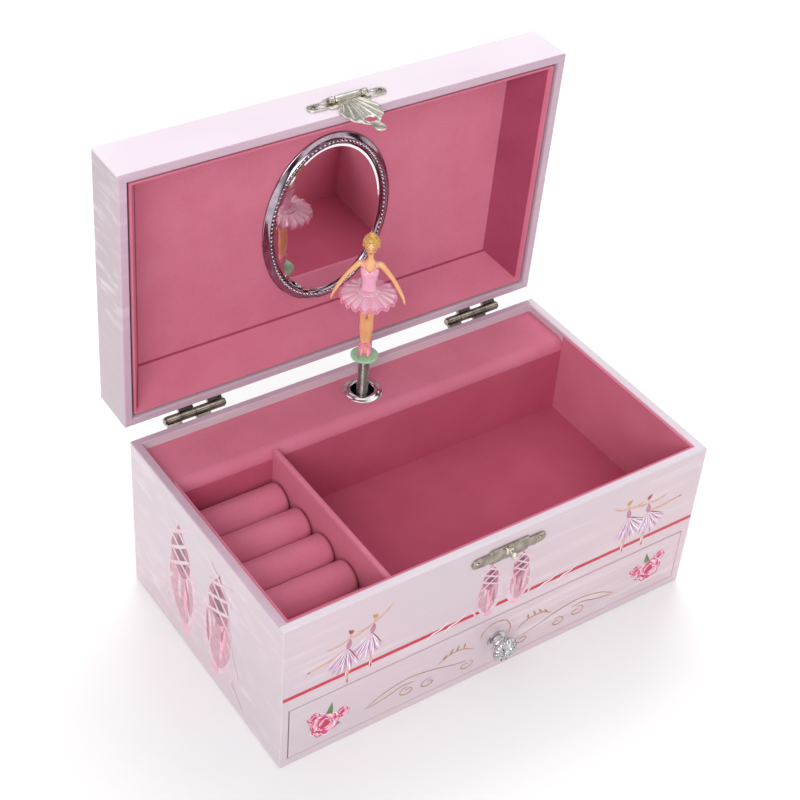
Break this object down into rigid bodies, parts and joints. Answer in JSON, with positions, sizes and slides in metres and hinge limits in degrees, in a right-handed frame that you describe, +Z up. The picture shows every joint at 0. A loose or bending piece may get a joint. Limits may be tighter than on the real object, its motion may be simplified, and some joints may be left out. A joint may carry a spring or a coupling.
{
  "type": "musical jewellery box",
  "caption": "Hinged-lid musical jewellery box with an oval lid mirror, a front drawer, a ring tray, a hasp and a turning dancer on a spring.",
  "frame": {"origin": "centre of the case's underside, on the surface it stands on", "axes": "+X to the right along the front, -Y out of the front face, +Z up"},
  "size_m": [0.22, 0.1678, 0.221],
  "materials": {
    "paper": "printed paper over board, satin",
    "velvet": "flocked pink velvet",
    "nickel": "polished nickel plate",
    "mirror": "silvered",
    "brass": "satin",
    "steel": "bright spring steel",
    "green_plastic": "moulded gloss",
    "skin_plastic": "painted moulded plastic",
    "tutu_plastic": "moulded frills with a gloss"
  },
  "bodies": {
    "case": {"left_side_panel": "paper", "right_side_panel": "paper", "back_panel": "paper", "front_panel": "paper", "bottom_panel": "paper", "drawer_shelf": "paper", "housing_front": "velvet", "housing_top": "velvet", "divider": "velvet", "tray_floor_card": "velvet", "wall_cards": "velvet", "ring_roll_1": "velvet", "ring_roll_2": "velvet", "ring_roll_3": "velvet", "ring_roll_4": "velvet", "ring_roll_5": "velvet", "case_hinge_leaves": "nickel", "hinge_pins": "nickel", "case_nails": "nickel", "catch_plate": "nickel", "catch_stud": "nickel", "bedplate": "brass", "comb": "steel", "movement_screws": "steel", "governor_bracket": "brass", "eyelet": "nickel"},
    "lid": {"lid_top_board": "paper", "lid_front_rail": "paper", "lid_back_rail": "paper", "lid_left_rail": "paper", "lid_right_rail": "paper", "lid_lining": "velvet", "mirror_frame": "nickel", "mirror_glass": "mirror", "lid_hinge_leaves": "nickel", "lid_nails": "nickel", "hasp_mount": "nickel", "hasp_pin": "nickel"},
    "hasp": {"hasp_shell": "nickel"},
    "drawer": {"drawer_front": "paper", "drawer_left_side": "paper", "drawer_right_side": "paper", "drawer_back": "paper", "drawer_bottom": "paper", "drawer_lining": "velvet", "drawer_knob": "nickel", "knob_screw": "steel"},
    "barrel": {"barrel_drum": "brass", "mainspring": "steel"},
    "winder": {"winding_arbor": "steel", "winding_key": "brass"},
    "cylinder": {"music_cylinder": "brass"},
    "idler": {"governor_idler": "brass"},
    "governor": {"governor_worm": "steel"},
    "output_shaft": {"dancer_shaft": "steel", "spring_foot": "steel"},
    "dancer_stem": {"spring_top": "steel"},
    "dancer": {"dancer_stand": "green_plastic", "dancer_figure": "skin_plastic", "dancer_tutu": "tutu_plastic"}
  },
  "joints": [
    {"name": "lid_hinge", "type": "hinge", "parent": "case", "child": "lid", "pos_m": [0, 0.069, 0.083], "axis": [1, 0, 0], "range_deg": [0, 88]},
    {"name": "hasp_hinge", "type": "hinge", "parent": "lid", "child": "hasp", "pos_m": [0, 0.07374, 0.2196], "axis": [-1, 0, 0], "range_deg": [0, 150]},
    {"name": "drawer_slide", "type": "slide", "parent": "case", "child": "drawer", "axis": [0, -1, 0], "range_m": [0, 0.072]},
    {"name": "barrel_turn", "type": "hinge", "parent": "case", "child": "barrel", "pos_m": [0, 0.059, 0.046], "axis": [0, 1, 0], "continuous": true},
    {"name": "key_turn", "type": "hinge", "parent": "case", "child": "winder", "pos_m": [0, 0.059, 0.046], "axis": [0, 1, 0], "continuous": true},
    {"name": "cylinder_turn", "type": "hinge", "parent": "case", "child": "cylinder", "pos_m": [0.0165, 0.046, 0.046], "axis": [1, 0, 0], "continuous": true},
    {"name": "idler_turn", "type": "hinge", "parent": "case", "child": "idler", "pos_m": [0.049, 0.046, 0.05435], "axis": [1, 0, 0], "continuous": true},
    {"name": "governor_turn", "type": "hinge", "parent": "case", "child": "governor", "pos_m": [0.0529, 0.05295, 0.05435], "axis": [0, 0, 1], "continuous": true},
    {"name": "shaft_turn", "type": "hinge", "parent": "case", "child": "output_shaft", "pos_m": [0, 0.049, 0.079], "axis": [0, 0, 1], "continuous": true},
    {"name": "dancer_fold", "type": "hinge", "parent": "case", "child": "dancer_stem", "pos_m": [0, 0.049, 0.089], "axis": [1, 0, 0], "range_deg": [0, 100]},
    {"name": "dancer_turn", "type": "hinge", "parent": "dancer_stem", "child": "dancer", "pos_m": [0, 0.049, 0.089], "axis": [0, 0, 1], "continuous": true}
  ],
  "couplings": [
    {"joint": "cylinder_turn", "follows": "barrel_turn", "ratio": -2},
    {"joint": "idler_turn", "follows": "barrel_turn", "ratio": 6},
    {"joint": "governor_turn", "follows": "barrel_turn", "ratio": 60},
    {"joint": "shaft_turn", "follows": "barrel_turn", "ratio": -4},
    {"joint": "dancer_turn", "follows": "barrel_turn", "ratio": -4},
    {"joint": "dancer_fold", "follows": "lid_hinge", "ratio": 1.136}
  ]
}
